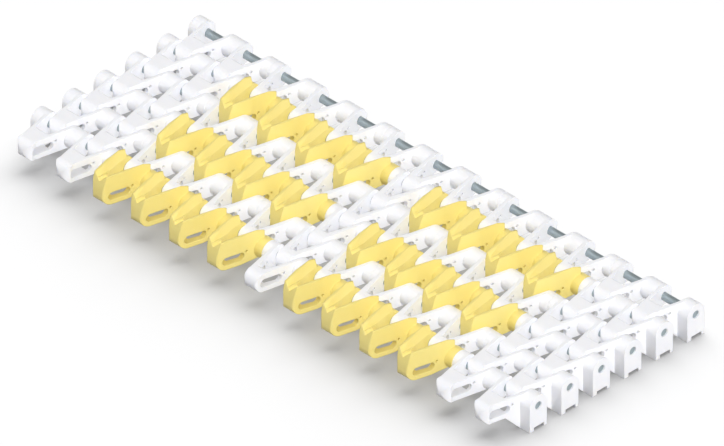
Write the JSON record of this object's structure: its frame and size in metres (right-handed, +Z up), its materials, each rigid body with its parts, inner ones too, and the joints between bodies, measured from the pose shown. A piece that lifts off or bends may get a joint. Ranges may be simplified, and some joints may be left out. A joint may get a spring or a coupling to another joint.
{
  "type": "modular plastic belt",
  "caption": "Side-flexing modular plastic conveyor belt section: nested vee modules on steel rods, guide blocks at both edges and raised yellow ribs.",
  "frame": {"origin": "middle of the belt section, on the plane that the guide feet stand on", "axes": "+X across the belt towards the edge with the open rod ends, +Y along the belt from the noses of the first row to the last rod, +Z up through the carrying side"},
  "size_m": [0.3964, 0.163, 0.0295],
  "materials": {
    "white_plastic": "satin moulded acetal",
    "yellow_plastic": "satin moulded acetal",
    "steel": "drawn round bar"
  },
  "bodies": {
    "row_1": {"row_1_left_edge": "white_plastic", "row_1_raised_left": "yellow_plastic", "row_1_centre": "white_plastic", "row_1_raised_right": "yellow_plastic", "row_1_right_edge": "white_plastic", "rod_plug_1": "white_plastic"},
    "rod_1": {"rod_1": "steel"},
    "row_2": {"row_2_left_edge": "white_plastic", "row_2_plain_left": "white_plastic", "row_2_plain_centre": "white_plastic", "row_2_plain_right": "white_plastic", "row_2_right_edge": "white_plastic", "rod_plug_2": "white_plastic"},
    "rod_2": {"rod_2": "steel"},
    "row_3": {"row_3_left_edge": "white_plastic", "row_3_raised_left": "yellow_plastic", "row_3_centre": "white_plastic", "row_3_raised_right": "yellow_plastic", "row_3_right_edge": "white_plastic", "rod_plug_3": "white_plastic"},
    "rod_3": {"rod_3": "steel"},
    "row_4": {"row_4_left_edge": "white_plastic", "row_4_plain_left": "white_plastic", "row_4_plain_centre": "white_plastic", "row_4_plain_right": "white_plastic", "row_4_right_edge": "white_plastic", "rod_plug_4": "white_plastic"},
    "rod_4": {"rod_4": "steel"},
    "row_5": {"row_5_left_edge": "white_plastic", "row_5_raised_left": "yellow_plastic", "row_5_centre": "white_plastic", "row_5_raised_right": "yellow_plastic", "row_5_right_edge": "white_plastic", "rod_plug_5": "white_plastic"},
    "rod_5": {"rod_5": "steel"},
    "row_6": {"row_6_left_edge": "white_plastic", "row_6_plain_left": "white_plastic", "row_6_plain_centre": "white_plastic", "row_6_plain_right": "white_plastic", "row_6_right_edge": "white_plastic", "rod_plug_6": "white_plastic"},
    "rod_6": {"rod_6": "steel"}
  },
  "joints": [
    {"name": "flex_1", "type": "hinge", "parent": "row_1", "child": "rod_1", "pos_m": [0, -0.05035, 0.0159], "axis": [1, 0, 0], "range_deg": [-40, 12]},
    {"name": "collapse_1", "type": "slide", "parent": "rod_1", "child": "row_2", "axis": [0, -1, 0], "range_m": [0, 0.008]},
    {"name": "flex_2", "type": "hinge", "parent": "row_2", "child": "rod_2", "pos_m": [0, -0.02535, 0.0159], "axis": [1, 0, 0], "range_deg": [-40, 12]},
    {"name": "collapse_2", "type": "slide", "parent": "rod_2", "child": "row_3", "axis": [0, -1, 0], "range_m": [0, 0.008]},
    {"name": "flex_3", "type": "hinge", "parent": "row_3", "child": "rod_3", "pos_m": [0, -0.00035, 0.0159], "axis": [1, 0, 0], "range_deg": [-40, 12]},
    {"name": "collapse_3", "type": "slide", "parent": "rod_3", "child": "row_4", "axis": [0, -1, 0], "range_m": [0, 0.008]},
    {"name": "flex_4", "type": "hinge", "parent": "row_4", "child": "rod_4", "pos_m": [0, 0.02465, 0.0159], "axis": [1, 0, 0], "range_deg": [-40, 12]},
    {"name": "collapse_4", "type": "slide", "parent": "rod_4", "child": "row_5", "axis": [0, -1, 0], "range_m": [0, 0.008]},
    {"name": "flex_5", "type": "hinge", "parent": "row_5", "child": "rod_5", "pos_m": [0, 0.04965, 0.0159], "axis": [1, 0, 0], "range_deg": [-40, 12]},
    {"name": "collapse_5", "type": "slide", "parent": "rod_5", "child": "row_6", "axis": [0, -1, 0], "range_m": [0, 0.008]},
    {"name": "rod_6_spin", "type": "hinge", "parent": "row_6", "child": "rod_6", "pos_m": [0, 0.07465, 0.0159], "axis": [1, 0, 0], "continuous": true}
  ]
}
